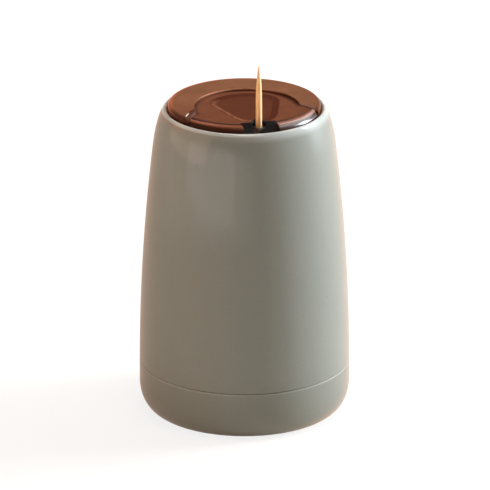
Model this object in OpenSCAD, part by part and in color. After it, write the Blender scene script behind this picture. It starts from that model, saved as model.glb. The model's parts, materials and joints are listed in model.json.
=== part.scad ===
// Press-top toothpick holder, in millimetres: +Z up, front towards -Y, origin at the bottom centre.
// Pressing the lid lowers the magazine past a fixed pin, which pushes one pick into the lid's nozzle.

/* [Casing] */
// Height of the casing's lip above the table
case_h = 100; // [97:0.5:108]
// Height of the seam between the base and the shell
seam_h = 16; // [14:0.5:19]
// Radius at the widest place
belly_r = 33.46; // [32.8:0.01:36]
// Height of the widest place
belly_h = 12; // [9:0.5:16]
// How far the long arc of the side leans in from the widest place to the lip
side_taper = 6.16; // [5:0.01:7]
// Height of the rounded shoulder under the lip
shoulder_h = 12; // [9:0.5:15]
// How far the shoulder rounds inwards at the lip
shoulder_in = 2.2; // [1.6:0.1:2.6]
// Radius of the lip's inner edge
lip_round = 0.68; // [0.5:0.01:0.9]
// Depth of the straight neck below the lip's inner edge
neck_h = 1.6; // [1:0.1:2.5]
// Wall thickness of the shell
shell_t = 1.8; // [1.4:0.1:2]
// Height of the round along the bottom edge
foot_round_h = 8.6; // [7:0.1:10]
// Width of the round along the bottom edge
foot_round_w = 5.3; // [4:0.1:6]
// Chamfer on both edges of the seam
seam_chamfer = 0.3; // [0.2:0.05:0.5]

/* [Base] */
// Wall thickness of the base cup
base_t = 2; // [1.6:0.1:2.4]
// Thickness of the base floor
base_floor_t = 2.5; // [2.2:0.1:3]
// Height of the shelf that carries the spigot
shelf_t = 3; // [2:0.1:4]
// Height of the spigot above the seam
spigot_h = 8; // [6:0.5:10]
// Wall thickness of the spigot
spigot_t = 1.8; // [1.6:0.1:2.2]
// Radial gap between the spigot and the shell
spigot_gap = 0.25; // [0.2:0.05:0.4]
// Radius of the seal ring's round section
seal_r = 0.7; // [0.5:0.05:0.8]
// Gap between the seal ring and the shell
seal_gap = 0.08; // [0.05:0.01:0.15]
// Distance of the foot ring's middle inside the widest place
foot_ring_inset = 8.46; // [8:0.01:10]
// Width of the foot ring
foot_ring_w = 3; // [2:0.1:4]
// Thickness of the foot ring
foot_ring_t = 1.5; // [1.2:0.1:1.8]
// How far the foot ring stands out below the base
foot_ring_out = 0.5; // [0.3:0.1:0.7]
// Outer radius of the screw posts
post_r = 3.1; // [2.8:0.1:3.2]
// Height of the screw posts above the base floor
post_h = 8; // [7:0.5:9]
// Radial gap between the posts and the guide sleeve
post_gap = 0.8; // [0.6:0.1:0.9]
// Outer radius of the pusher pin's boss
pin_boss_r = 2.6; // [2:0.1:3]

/* [Toothpick and pusher] */
// Length of a toothpick
pick_len = 65; // [63:0.5:67]
// Radius of a toothpick
pick_r = 0.975; // [0.85:0.005:1]
// Length of the taper at each end
pick_taper = 12; // [8:0.5:16]
// Radius of each tip
pick_tip_r = 0.14; // [0.1:0.01:0.3]
// Distance of the pick hole's axis inside the lid's front edge
pick_inset = 5.17; // [4.9:0.01:5.6]
// Travel of the lid when it is pressed
stroke = 21.9; // [18:0.1:23]
// Radius of the pusher pin
pin_r = 0.8; // [0.6:0.05:0.9]
// Depth of the pusher pin's seat below the base floor
pin_seat = 1; // [0.8:0.1:1.4]
// Gap between the pusher pin and the pick above it
pin_gap = 0.3; // [0.2:0.05:0.5]

/* [Magazine] */
// How much smaller than the barrel the round back of the fan-shaped chamber is
fan_less = 5.5; // [5.2:0.1:6.2]
// How far the centre of that round back lies in front of the middle
fan_shift = 2.6; // [2.2:0.1:3]
// How much nearer to the middle than the barrel's radius the chamber's flat sides are
fan_side_less = 6.3; // [6.1:0.1:6.6]
// Angle of the chamber's sides from the front line
fan_side_a = 17; // [15:0.5:19]
// Angle of the funnel's sides from the front line
fan_funnel_a = 55; // [48:1:62]
// Gap around a pick in the narrow front of the chamber
channel_gap = 0.225; // [0.15:0.005:0.3]
// Wall thickness of the chamber
fan_t = 1.2; // [1:0.1:1.3]
// Wall thickness of the barrel
barrel_t = 1.2; // [1:0.1:1.5]
// Wall left in front of the narrow channel
channel_wall = 1; // [0.8:0.1:1.2]
// How far the barrel's axis lies in front of the middle
barrel_shift = 4.2; // [4:0.1:4.5]
// Thickness of the deck on top of the barrel
deck_t = 1.5; // [1.2:0.1:2]
// Thickness of the floor under the picks
mag_floor_t = 1.5; // [1.3:0.1:1.8]
// How far the floor stands out round the barrel as a stop
stop_w = 1; // [0.8:0.1:1.2]
// Free height above a full row of picks
head_gap = 0.6; // [0.4:0.1:1]
// Length of the bosses for the floor screws
floor_boss_h = 10; // [8:0.5:12]
// Outer radius of the bosses for the floor screws
floor_boss_r = 2.2; // [1.9:0.1:2.3]
// Angle of the floor screws in front of the barrel's side line
floor_screw_a = 25; // [20:1:30]

/* [Guide and spring] */
// Radial gap between sliding parts
slide_gap = 0.25; // [0.2:0.05:0.3]
// Wall thickness of the guide sleeve
sleeve_t = 1.5; // [1.2:0.1:1.6]
// Length of the sleeve's narrow bore
guide_len = 18; // [14:0.5:22]
// Thickness of the screw lugs
lug_t = 2.5; // [2:0.1:3]
// Width of the key inside the sleeve
key_w = 2.4; // [2:0.1:3]
// Height of the key inside the sleeve
key_h = 0.9; // [0.7:0.05:1]
// Thickness of the bumper ring under the stop
bumper_t = 1; // [0.8:0.1:1.4]
// Gap under the bumper ring at rest
bumper_gap = 0.1; // [0.05:0.01:0.2]
// Thickness of the spring seat
seat_t = 0.6; // [0.5:0.1:0.8]
// Height of the lip round the spring seat
seat_lip_h = 1; // [0.8:0.1:1.4]
// Wall thickness of the lip round the spring seat
seat_lip_t = 0.8; // [0.6:0.1:1]
// Thickness of the spring wire
wire_d = 0.9; // [0.8:0.05:1]
// Radial gap between the barrel and the spring
spring_gap = 0.45; // [0.4:0.05:0.5]
// Rise of the closed turn at each end of the spring
end_pitch = 1.6; // [1.5:0.05:2]
// Gap between the spring and what it bears on
spring_end_gap = 0.05; // [0.03:0.01:0.1]

/* [Lid] */
// Gap between the lid and the neck
lid_gap = 0.35; // [0.3:0.05:0.45]
// Height of the raised ring above the lip
ring_proud = 1.8; // [1.5:0.1:2]
// Radius of the ring's outer top edge
ring_round = 1; // [0.8:0.1:1.2]
// Wall thickness of the raised ring
ring_t = 1.3; // [1.1:0.1:1.5]
// Depth of the skirt below the lid's plate
skirt_h = 3.6; // [3:0.1:4.5]
// Wall thickness of the skirt
skirt_t = 1.2; // [1:0.1:1.4]
// Thickness of the plate under the cover
plate_t = 1.4; // [1.2:0.1:1.6]
// Width of the raised ring at the back, between the lid's edge and the round dish
ring_back_w = 10.87; // [10.3:0.01:11.4]
// Width of the band in front of the dish
band_w = 3.87; // [3.5:0.01:4.2]
// Depth of the dish below the ring
dish_depth = 0.8; // [0.6:0.1:1]
// How much smaller than the lid the curve is that ends the ring at each side
mouth_less = 1.97; // [1.6:0.01:2.3]
// Distance of that curve's centre inside the lid's front edge
mouth_inset = 4.51; // [4.2:0.01:4.8]
// Width of the ramp down from the ring's ends to that curve
mouth_ramp_w = 1.9; // [1.6:0.1:2.2]
// Gap round the cover
cover_gap = 0.15; // [0.1:0.05:0.25]
// Thickness of the cover in the dish
cover_t = 1.8; // [1.6:0.1:2]
// Depth of the shallow window in the dish over the chamber
window_h = 0.4; // [0.3:0.05:0.5]
// Height of the cover's front band above the dish
band_rise = 0.3; // [0.2:0.1:0.4]
// Width of the rounded fall at the front band's outer edge
band_fall_w = 2.4; // [1.8:0.1:2.8]
// Height of the rounded fall at the front band's outer edge
band_fall_h = 2; // [1.6:0.1:2]
// Radius of the cap screws' bosses
cap_boss_r = 2; // [1.8:0.1:2]
// Depth of the cap screws' holes in the ring
cap_hole_h = 2.6; // [2.2:0.1:2.8]
// Angle of the two side screws behind the side line
cap_screw_a = 9; // [7:1:14]

/* [Nozzle] */
// Half the width of the nozzle block
nozzle_half_w = 6.1; // [5.6:0.1:6.5]
// Length of the block behind the pick hole's axis
nozzle_back = 1.3; // [1:0.1:1.6]
// Length of the block in front of the pick hole's axis
nozzle_front = 3.6; // [3.2:0.1:3.8]
// Radius of the mouth of the pick hole
mouth_hole_r = 2.2; // [2:0.05:2.3]
// Outer radius of the collar round the mouth
collar_r = 2.65; // [2.5:0.05:2.8]
// Height of the middle of the mouth above the lip
mouth_hole_h = 0.85; // [0.75:0.05:1]
// Forward tilt of the nozzle's top
nozzle_tilt = 21; // [18:1:22]
// Width of the flange that keeps the block in the cover
nozzle_flange_w = 1; // [0.8:0.1:1.2]
// Thickness of that flange
nozzle_flange_t = 0.6; // [0.5:0.1:0.8]
// Depth of the spout, the collar's lower end, below the block
spout_h = 0.3; // [0.2:0.05:0.4]
// Thickness of the spout's floor under the soft grip
spout_floor_t = 0.4; // [0.35:0.05:0.5]
// Thickness of the soft grip
grip_t = 0.6; // [0.5:0.05:0.65]
// Gap between the grip and the pick
grip_gap = 0.05; // [0.03:0.01:0.08]
// Gap round the grip and the nozzle block
seat_gap = 0.05; // [0.03:0.01:0.1]

/* [Screws] */
// Radius of the guide screws' thread
guide_screw_r = 1.1; // [1:0.05:1.2]
// Radius of the small screws' thread
small_screw_r = 0.8; // [0.7:0.05:0.85]
// Screw head radius as a multiple of the thread radius
head_r_share = 1.9; // [1.7:0.1:2]
// Screw head height as a multiple of the thread radius
head_h_share = 1.1; // [1:0.1:1.2]
// Gap round a screw's thread
screw_gap = 0.05; // [0.03:0.01:0.08]
// Length of the guide screws' thread below the lug
guide_screw_len = 6; // [5:0.5:6.5]
// Length of the floor screws
floor_screw_len = 7; // [6:0.5:8]

/* [Hidden] */
$fn = 96;

// How far a cut runs past the face it opens
over = 0.4;
// Points along each rounded stretch of an outline
round_steps = 8;
// Points along the casing's side
side_steps = 12;
// Points along the round back of the chamber
fan_steps = 24;
// Turns of the spring, rings for each turn and sides of its wire
spring_turns = 9;
spring_rings = 24;
spring_sides = 6;
// Screws that hold the guide sleeve
guide_screw_n = 3;

// The casing's outline: the long arc, with an elliptic round at the foot and at the shoulder
side_arc_r = (pow(case_h - belly_h, 2) + pow(side_taper, 2)) / (2 * side_taper);
function side_r(z) = belly_r - (side_arc_r - sqrt(side_arc_r * side_arc_r - (z - belly_h) * (z - belly_h)));
function foot_in(z) = foot_round_w * (1 - sqrt(1 - pow(max(0, 1 - z / foot_round_h), 2)));
function shoulder_cut(z) =
    shoulder_in * (1 - sqrt(1 - pow(max(0, (z - shoulder_z) / shoulder_h), 2)));
function case_r(z) = side_r(z) - foot_in(z) - shoulder_cut(z);
shoulder_z = case_h - shoulder_h;
crest_r = side_r(case_h) - shoulder_in;
neck_r = crest_r - lip_round;
neck_z = case_h - lip_round - neck_h;

// Heights from the lip downwards
lid_r = neck_r - lid_gap;
ring_top = case_h + ring_proud;
dish_z = ring_top - dish_depth;
cover_z = dish_z - cover_t;
plate_z = cover_z - plate_t;
deck_z = plate_z - deck_t;
deck_r = lid_r - skirt_t - slide_gap;

// Plan of the lid, from its edge inwards
pick_reach = lid_r - pick_inset;
dish_r = lid_r - (ring_back_w + band_w) / 2;
dish_shift = (ring_back_w - band_w) / 2;
mouth_r = lid_r - mouth_less;
mouth_shift = lid_r - mouth_inset;

// Heights from the cover down to the pick
mag_floor_top = cover_z - head_gap - pick_len;
mag_floor_z = mag_floor_top - mag_floor_t;
pin_top = mag_floor_top - pin_gap;
pick_z = pin_top + pin_gap + stroke;

// Heights from the table upwards
base_z = foot_ring_out;
foot_ring_r = belly_r - foot_ring_inset;
base_floor_top = base_z + base_floor_t;
spigot_top = seam_h + spigot_h;
spigot_r = case_r(spigot_top) - shell_t - spigot_gap;
seal_z = seam_h + spigot_h / 2;
seal_mid_r = case_r(seal_z) - shell_t - seal_gap - seal_r;
lug_z = base_floor_top + post_h;
pin_boss_top = mag_floor_z - stroke - head_gap;

// Radii round the barrel's axis
channel_r = pick_r + channel_gap;
barrel_r = pick_reach + channel_r + channel_wall - barrel_shift;
fan_r = barrel_r - fan_less;
fan_side_d = barrel_r - fan_side_less;
flange_r = barrel_r + stop_w;
guide_bore_r = barrel_r + slide_gap;
stop_bore_r = flange_r + slide_gap;
sleeve_r = stop_bore_r + sleeve_t;
guide_r = guide_bore_r + sleeve_t;
post_ring_r = sleeve_r + post_gap + post_r;
bumper_z = mag_floor_top + bumper_gap;
stop_z = bumper_z + bumper_t;
sleeve_top = stop_z + guide_len;
seat_top = sleeve_top + seat_t;
spring_mid_r = barrel_r + spring_gap + wire_d / 2;
floor_screw_ring_r = barrel_r - barrel_t - floor_boss_r + barrel_t / 4;

// Nozzle and screws
nozzle_back_y = -pick_reach + nozzle_back;
nozzle_mid_z = case_h + mouth_hole_h;
nozzle_top = nozzle_mid_z + collar_r * tan(nozzle_tilt) + over;
spout_z = cover_z - spout_h;
grip_z = spout_z + spout_floor_t;
bore_r = pick_r + grip_gap;
grip_r = mouth_hole_r - seat_gap;
guide_head_r = guide_screw_r * head_r_share;
small_head_r = small_screw_r * head_r_share;
small_head_h = small_screw_r * head_h_share;
guide_head_h = guide_screw_r * head_h_share;

// Points of an arc, from one angle to another
function arc(cx, cy, r, a0, a1, steps) =
    [for (i = [0:steps]) let (a = a0 + (a1 - a0) * i / steps) [cx + r * cos(a), cy + r * sin(a)]];

// Meeting point of two lines, each given by its normal's angle and its distance
function meet(a1, d1, a2, d2) =
    [(d1 * sin(a2) - d2 * sin(a1)) / sin(a2 - a1), (d2 * cos(a1) - d1 * cos(a2)) / sin(a2 - a1)];
function flip(points) = [for (i = [len(points) - 1:-1:0]) [-points[i][0], points[i][1]]];

// Plan of the fan-shaped chamber, grown outwards by g: round back, straight sides, funnel, narrow end
function fan_corner_a(g) = acos((fan_side_d + g - fan_shift * sin(fan_side_a)) / (fan_r + g)) - fan_side_a;
function fan_half(g) = concat(
    arc(0, -fan_shift, fan_r + g, 90, fan_corner_a(g), fan_steps / 2),
    [meet(-fan_side_a, fan_side_d + g, -fan_funnel_a, pick_reach * sin(fan_funnel_a) + channel_r + g)],
    arc(0, -pick_reach, channel_r + g, -fan_funnel_a, -90, round_steps / 2));
function fan_plan(g) = concat(fan_half(g), flip(fan_half(g)));

// Distance from the middle to the dish's edge, at an angle behind the side line
function dish_reach(a) = -dish_shift * sin(a) + sqrt(pow(dish_r, 2) - pow(dish_shift * cos(a), 2));
cap_screw_angles = [cap_screw_a, 90, 180 - cap_screw_a];

module at_barrel() translate([0, -barrel_shift, 0]) children();
module at_pick() translate([0, -pick_reach, 0]) children();
module at_posts()
    at_barrel() for (i = [0:guide_screw_n - 1]) rotate(90 + i * 360 / guide_screw_n)
        translate([post_ring_r, 0, 0]) children();
module at_floor_screws()
    at_barrel() for (side = [-1, 1])
        translate([side * floor_screw_ring_r * cos(floor_screw_a),
            -floor_screw_ring_r * sin(floor_screw_a), 0]) children();
module at_cap_screws()
    for (a = cap_screw_angles) let (r = (dish_reach(a) + lid_r) / 2)
        translate([r * cos(a), r * sin(a), 0]) children();

module tube(r_out, r_in, z0, z1)
    translate([0, 0, z0]) difference() {
        cylinder(r = r_out, h = z1 - z0);
        translate([0, 0, -over]) cylinder(r = r_in, h = z1 - z0 + 2 * over);
    }
module rod(r, z0, z1) translate([0, 0, z0]) cylinder(r = r, h = z1 - z0);
module slab(z0, z1) translate([0, 0, z0]) linear_extrude(z1 - z0) children();
// Screw with its thread below a flat head, thread end down
module pan_screw(r, len, head_r, head_h) {
    rod(r, -len, head_h / 2);
    rod(head_r, 0, head_h);
}

// Lowered part of the lid's plan: the round dish and the wide mouth in front of it
module low_plan(gap) {
    translate([0, -dish_shift]) circle(r = dish_r - gap);
    translate([0, -mouth_shift]) circle(r = mouth_r - gap);
}

module outer_shell() {
    wall_top = neck_z - shell_t / 2;
    side_in = [for (i = [side_steps:-1:0]) let (z = seam_h + (shoulder_z - seam_h) * i / side_steps)
        [case_r(z) - shell_t, z]];
    side_out = [for (i = [1:side_steps]) let (z = seam_h + (shoulder_z - seam_h) * i / side_steps)
        [case_r(z), z]];
    shoulder = [for (i = [1:round_steps]) let (a = 90 * i / round_steps)
        let (z = shoulder_z + shoulder_h * sin(a)) [side_r(z) - shoulder_in * (1 - cos(a)), z]];
    shoulder_inner = [for (i = [round_steps:-1:1])
        let (z = shoulder_z + (wall_top - shoulder_z) * i / round_steps)
            [max(neck_r, case_r(z) - shell_t), z]];
    color([0.53, 0.56, 0.52]) rotate_extrude() polygon(concat(
        [[case_r(seam_h) - seam_chamfer, seam_h], [case_r(seam_h), seam_h + seam_chamfer]],
        side_out, shoulder,
        arc(crest_r, case_h - lip_round, lip_round, 90 + 90 / round_steps, 180, round_steps - 1),
        [[neck_r, neck_z]], shoulder_inner, side_in));
}

module base_cup() {
    shelf_z = seam_h - shelf_t;
    foot = [for (i = [0:round_steps])
        let (z = base_z + (foot_round_h - base_z) * pow(i / round_steps, 2)) [case_r(z), z]];
    inside = [for (i = [0:round_steps])
        let (z = shelf_z + (base_floor_top - shelf_z) * i / round_steps) [case_r(z) - base_t, z]];
    color([0.53, 0.56, 0.52]) {
        difference() {
            rotate_extrude() polygon(concat(
                [[0, base_z]], foot,
                [[case_r(seam_h), seam_h - seam_chamfer], [case_r(seam_h) - seam_chamfer, seam_h],
                 [spigot_r, seam_h], [spigot_r, spigot_top], [spigot_r - spigot_t, spigot_top],
                 [spigot_r - spigot_t, shelf_z]],
                inside, [[0, base_floor_top]]));
            tube(foot_ring_r + foot_ring_w / 2 + seat_gap, foot_ring_r - foot_ring_w / 2 - seat_gap,
                base_z - over, foot_ring_t);
            tube(spigot_r + over, seal_mid_r - seal_r - seat_gap,
                seal_z - seal_r - seat_gap, seal_z + seal_r + seat_gap);
            at_pick() rod(pin_r + screw_gap / 2, base_floor_top - pin_seat, base_floor_top + over);
        }
        at_posts() tube(post_r, guide_screw_r + screw_gap, base_floor_top - base_floor_t / 2, lug_z);
        at_pick() tube(pin_boss_r, pin_r + screw_gap / 2, base_floor_top - pin_seat / 2, pin_boss_top);
    }
}

module foot_ring() color([0.16, 0.16, 0.16])
    tube(foot_ring_r + foot_ring_w / 2, foot_ring_r - foot_ring_w / 2, 0, foot_ring_t);

module base_seal() color([0.2, 0.2, 0.2])
    translate([0, 0, seal_z]) rotate_extrude() translate([seal_mid_r, 0]) circle(r = seal_r, $fn = 24);

module guide_sleeve() {
    lip_in = guide_r + seat_gap;
    lip_out = lip_in + seat_lip_t;
    lip_top = seat_top + seat_lip_h - seat_t;
    color([0.85, 0.84, 0.8]) {
        at_barrel() rotate_extrude() polygon([
            [stop_bore_r, base_floor_top], [stop_bore_r, stop_z], [guide_bore_r, stop_z],
            [guide_bore_r, sleeve_top], [lip_in, sleeve_top], [lip_in, lip_top], [lip_out, lip_top],
            [lip_out, sleeve_top - sleeve_t], [guide_r, sleeve_top - 2 * sleeve_t],
            [guide_r, stop_z + 2 * sleeve_t], [sleeve_r, stop_z + sleeve_t], [sleeve_r, base_floor_top]]);
        difference() {
            union() {
                at_posts() rod(post_r, lug_z, lug_z + lug_t);
                at_barrel() for (i = [0:guide_screw_n - 1]) rotate(90 + i * 360 / guide_screw_n)
                    translate([sleeve_r - sleeve_t / 2, -post_r, lug_z])
                        cube([post_ring_r - sleeve_r + sleeve_t / 2, 2 * post_r, lug_t]);
            }
            at_posts() rod(guide_screw_r + screw_gap, lug_z - over, lug_z + lug_t + over);
        }
        at_barrel() translate([-key_w / 2, stop_bore_r - key_h, base_floor_top])
            cube([key_w, key_h + sleeve_t / 2, mag_floor_top - base_floor_top]);
    }
}

module guide_screws() color([0.75, 0.75, 0.77])
    at_posts() translate([0, 0, lug_z + lug_t])
        pan_screw(guide_screw_r, guide_screw_len + lug_t, guide_head_r, guide_head_h);

module bumper_ring() color([0.2, 0.2, 0.2])
    at_barrel() tube(stop_bore_r - seat_gap, guide_bore_r + seat_gap, bumper_z, stop_z);

module spring_seat() color([0.72, 0.72, 0.74])
    at_barrel() tube(guide_r - seat_gap, guide_bore_r + seat_gap, sleeve_top, seat_top);

// Height of the spring's wire after a number of turns: a closed turn at each end, open between
spring_z0 = seat_top + spring_end_gap + wire_d / 2;
spring_z1 = deck_z - spring_end_gap - wire_d / 2;
spring_pitch = (spring_z1 - spring_z0 - 2 * end_pitch) / (spring_turns - 2);
function spring_z(turn) = spring_z0 + end_pitch * min(turn, 1)
    + spring_pitch * max(0, min(turn - 1, spring_turns - 2)) + end_pitch * max(0, turn - spring_turns + 1);
function spring_at(turn) =
    [spring_mid_r * cos(360 * turn), spring_mid_r * sin(360 * turn), spring_z(turn)];

module return_spring() {
    rings = spring_turns * spring_rings;
    points = [for (k = [0:rings]) let (turn = k / spring_rings, p = spring_at(turn))
        for (s = [0:spring_sides - 1]) let (a = 360 * s / spring_sides)
            [p[0] + wire_d / 2 * cos(a) * cos(360 * turn),
             p[1] + wire_d / 2 * cos(a) * sin(360 * turn), p[2] + wire_d / 2 * sin(a)]];
    side = [for (k = [0:rings - 1]) for (s = [0:spring_sides - 1])
        let (a = k * spring_sides + s, b = k * spring_sides + (s + 1) % spring_sides)
        for (f = [[a, a + spring_sides, b], [b, a + spring_sides, b + spring_sides]]) f];
    ends = [for (s = [1:spring_sides - 2])
        for (f = [[0, s, s + 1],
            [rings * spring_sides, rings * spring_sides + s + 1, rings * spring_sides + s]]) f];
    gap = min([for (k = [0:rings - spring_rings])
        norm(spring_at(k / spring_rings + 1) - spring_at(k / spring_rings))]) - wire_d;
    echo(str("least gap between the spring's turns: ", gap));
    color([0.7, 0.7, 0.72]) at_barrel() polyhedron(points = points, faces = concat(side, ends));
}

module pusher_pin() color([0.78, 0.78, 0.8])
    at_pick() rod(pin_r, base_floor_top - pin_seat, pin_top);

module magazine() color([0.36, 0.2, 0.14])
    difference() {
        union() {
            at_barrel() tube(barrel_r, barrel_r - barrel_t, mag_floor_top, plate_z);
            intersection() {
                slab(mag_floor_top, plate_z) polygon(fan_plan(fan_t));
                at_barrel() rod(barrel_r, mag_floor_top, plate_z);
            }
            rod(deck_r, deck_z, plate_z);
            at_floor_screws() rod(floor_boss_r, mag_floor_top, mag_floor_top + floor_boss_h);
        }
        slab(mag_floor_top - over, plate_z + over) polygon(fan_plan(0));
        at_floor_screws() rod(small_screw_r + screw_gap, mag_floor_top - over,
            mag_floor_top + floor_screw_len);
        at_cap_screws() rod(small_screw_r + screw_gap, deck_z - over, plate_z + over);
    }

module magazine_floor() color([0.36, 0.2, 0.14])
    difference() {
        at_barrel() rod(flange_r, mag_floor_z, mag_floor_top);
        at_barrel() translate([-key_w / 2 - slide_gap, stop_bore_r - key_h - slide_gap, mag_floor_z - over])
            cube([key_w + 2 * slide_gap, key_h + slide_gap + over, mag_floor_t + 2 * over]);
        at_pick() rod(pin_r + slide_gap, mag_floor_z - over, mag_floor_top + over);
        at_floor_screws() {
            rod(small_screw_r + screw_gap, mag_floor_z - over, mag_floor_top + over);
            rod(small_head_r + screw_gap, mag_floor_z - over, mag_floor_z + small_head_h);
        }
    }

module floor_screws() color([0.75, 0.75, 0.77])
    at_floor_screws() translate([0, 0, mag_floor_z + small_head_h]) mirror([0, 0, 1])
        pan_screw(small_screw_r, floor_screw_len - over, small_head_r, small_head_h);

module ring_cap() {
    cavity_top = ring_top - ring_t;
    color([0.52, 0.33, 0.24]) difference() {
        union() {
            intersection() {
                rotate_extrude() polygon(concat([[0, plate_z], [lid_r, plate_z]],
                    arc(lid_r - ring_round, ring_top - ring_round, ring_round, 0, 90, round_steps),
                    [[0, ring_top]]));
                slab(plate_z, ring_top + over) difference() {
                    circle(r = lid_r + over);
                    low_plan(0);
                }
            }
            rod(lid_r, plate_z, cover_z);
            tube(lid_r, lid_r - skirt_t, plate_z - skirt_h, plate_z);
        }
        translate([0, -mouth_shift, dish_z]) cylinder(h = dish_depth + over, r1 = mouth_r,
            r2 = mouth_r + mouth_ramp_w * (1 + over / dish_depth));
        difference() {
            slab(plate_z - over, cavity_top) difference() {
                circle(r = lid_r - ring_t);
                low_plan(-ring_t);
            }
            at_cap_screws() rod(cap_boss_r, plate_z, ring_top);
        }
        at_cap_screws() rod(small_screw_r + screw_gap, plate_z - over, plate_z + cap_hole_h);
        slab(plate_z - over, cover_z + over) polygon(fan_plan(0));
        at_pick() rod(collar_r + slide_gap, plate_z - over, cover_z + over);
    }
}

module cap_screws() color([0.75, 0.75, 0.77])
    at_cap_screws() translate([0, 0, deck_z]) mirror([0, 0, 1])
        pan_screw(small_screw_r, deck_t + cap_hole_h - over, small_head_r, small_head_h);

// Solids that the nozzle's block, collar and flange or their pockets fill, grown by gap
module nozzle_block(gap, front_y, z0, z1) {
    translate([-nozzle_half_w - gap, front_y, z0])
        cube([2 * (nozzle_half_w + gap), nozzle_back_y + gap - front_y, z1 - z0]);
    at_pick() rod(collar_r + gap, z0, z1);
}
module nozzle_flange(gap, z0, z1) {
    front_y = -pick_reach - mouth_hole_r - gap;
    translate([-nozzle_half_w - nozzle_flange_w - gap, front_y, z0])
        cube([2 * (nozzle_half_w + nozzle_flange_w + gap),
            nozzle_back_y + nozzle_flange_w + gap - front_y, z1 - z0]);
}

module fill_cover() {
    crest = dish_z + band_rise;
    color([0.49, 0.31, 0.24]) difference() {
        intersection() {
            rotate_extrude() polygon(concat([[0, cover_z], [lid_r, cover_z]],
                [for (i = [0:round_steps]) let (a = 90 * i / round_steps)
                    [lid_r - band_fall_w * (1 - cos(a)), crest - band_fall_h * (1 - sin(a))]],
                [[0, crest]]));
            slab(cover_z, crest + over) low_plan(cover_gap);
        }
        translate([0, -dish_shift, 0]) rod(dish_r, dish_z, crest + over);
        slab(dish_z - window_h, crest + over) polygon(fan_plan(0));
        nozzle_block(seat_gap, -lid_r - over, cover_z - over, crest + over);
        nozzle_flange(seat_gap, cover_z - over, cover_z + nozzle_flange_t + seat_gap);
    }
}

module pick_nozzle() color([0.12, 0.1, 0.1])
    difference() {
        union() {
            nozzle_block(0, -pick_reach - nozzle_front, cover_z, nozzle_top);
            nozzle_flange(0, cover_z, cover_z + nozzle_flange_t);
            at_pick() rod(collar_r, spout_z, cover_z + nozzle_flange_t);
        }
        translate([0, -pick_reach, nozzle_mid_z]) rotate([nozzle_tilt, 0, 0])
            translate([-lid_r, -lid_r, 0]) cube(2 * lid_r);
        at_pick() {
            rod(mouth_hole_r, grip_z, nozzle_top + over);
            rod(channel_r + screw_gap, spout_z - over, grip_z + over);
        }
    }

module pick_grip() color([0.08, 0.08, 0.08])
    at_pick() tube(grip_r, bore_r, grip_z, grip_z + grip_t);

module toothpick() {
    taper = [for (i = [0:round_steps]) let (t = i / round_steps)
        [pick_tip_r + (pick_r - pick_tip_r) * sin(90 * t), pick_taper * t]];
    color([0.88, 0.68, 0.45]) at_pick() translate([0, 0, pick_z]) rotate_extrude($fn = 32)
        polygon(concat([[0, 0]], taper,
            [for (i = [round_steps:-1:0]) [taper[i][0], pick_len - taper[i][1]]], [[0, pick_len]]));
}

outer_shell();
base_cup();
foot_ring();
base_seal();
guide_sleeve();
guide_screws();
bumper_ring();
spring_seat();
return_spring();
pusher_pin();
magazine();
magazine_floor();
floor_screws();
ring_cap();
cap_screws();
fill_cover();
pick_nozzle();
pick_grip();
toothpick();
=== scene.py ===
"""Press-top toothpick holder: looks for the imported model, in metres, front towards -Y."""

import json
import math

import bpy
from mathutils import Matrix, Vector


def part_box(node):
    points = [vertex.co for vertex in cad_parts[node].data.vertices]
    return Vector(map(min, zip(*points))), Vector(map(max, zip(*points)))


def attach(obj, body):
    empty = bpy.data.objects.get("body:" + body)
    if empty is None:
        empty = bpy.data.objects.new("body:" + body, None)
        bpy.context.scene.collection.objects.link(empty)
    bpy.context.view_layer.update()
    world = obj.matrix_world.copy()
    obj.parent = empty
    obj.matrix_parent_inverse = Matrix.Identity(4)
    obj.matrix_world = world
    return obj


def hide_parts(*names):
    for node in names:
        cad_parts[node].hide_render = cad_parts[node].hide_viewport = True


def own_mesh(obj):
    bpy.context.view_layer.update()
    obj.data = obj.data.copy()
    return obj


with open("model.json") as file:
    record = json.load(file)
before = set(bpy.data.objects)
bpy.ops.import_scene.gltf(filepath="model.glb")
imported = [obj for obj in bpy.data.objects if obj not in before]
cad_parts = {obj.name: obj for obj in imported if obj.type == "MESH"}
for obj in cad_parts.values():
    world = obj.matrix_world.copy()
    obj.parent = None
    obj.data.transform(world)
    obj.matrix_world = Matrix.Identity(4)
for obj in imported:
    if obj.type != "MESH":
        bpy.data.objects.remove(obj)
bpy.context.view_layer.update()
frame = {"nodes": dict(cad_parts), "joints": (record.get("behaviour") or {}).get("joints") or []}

MM = 0.001
TURN = 2 * math.pi
# Points nearer than this are one point
WELD = 0.002 * MM
# How far a cutting tool passes the surface, and a joined piece reaches into the other
CUT = 0.5 * MM
ROOT = 1 * MM

# Boxes of the nodes that the looks are fitted to
SHELL_LOW, SHELL_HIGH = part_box("outer_shell")
BASE_LOW, BASE_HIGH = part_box("base_cup")
RING_LOW, RING_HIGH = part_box("ring_cap")
COVER_LOW, COVER_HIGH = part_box("fill_cover")
NOZZLE_LOW, NOZZLE_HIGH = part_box("pick_nozzle")
PICK_LOW, PICK_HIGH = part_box("toothpick")
SPRING_LOW, SPRING_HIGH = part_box("return_spring")
SEAL_LOW, SEAL_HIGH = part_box("base_seal")
GRIP_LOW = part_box("pick_grip")[0]
PIN_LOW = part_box("pusher_pin")[0]
FOOT_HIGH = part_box("foot_ring")[1]

# Faces round a turned piece
RIM_SEGMENTS = 192
BAND_SEGMENTS = 240
LID_SEGMENTS = 160
NOZZLE_SEGMENTS = 64
COLLAR_SEGMENTS = 48
POST_SEGMENTS = 40
PICK_SEGMENTS = 36
BORE_SEGMENTS = 32

# Edges sharper than this many degrees stay sharp when a piece is smoothed
SHARP_A = 40
CASE_SHARP_A = 35
COVER_SHARP_A = 30
THIN_SHARP_A = 50
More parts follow.
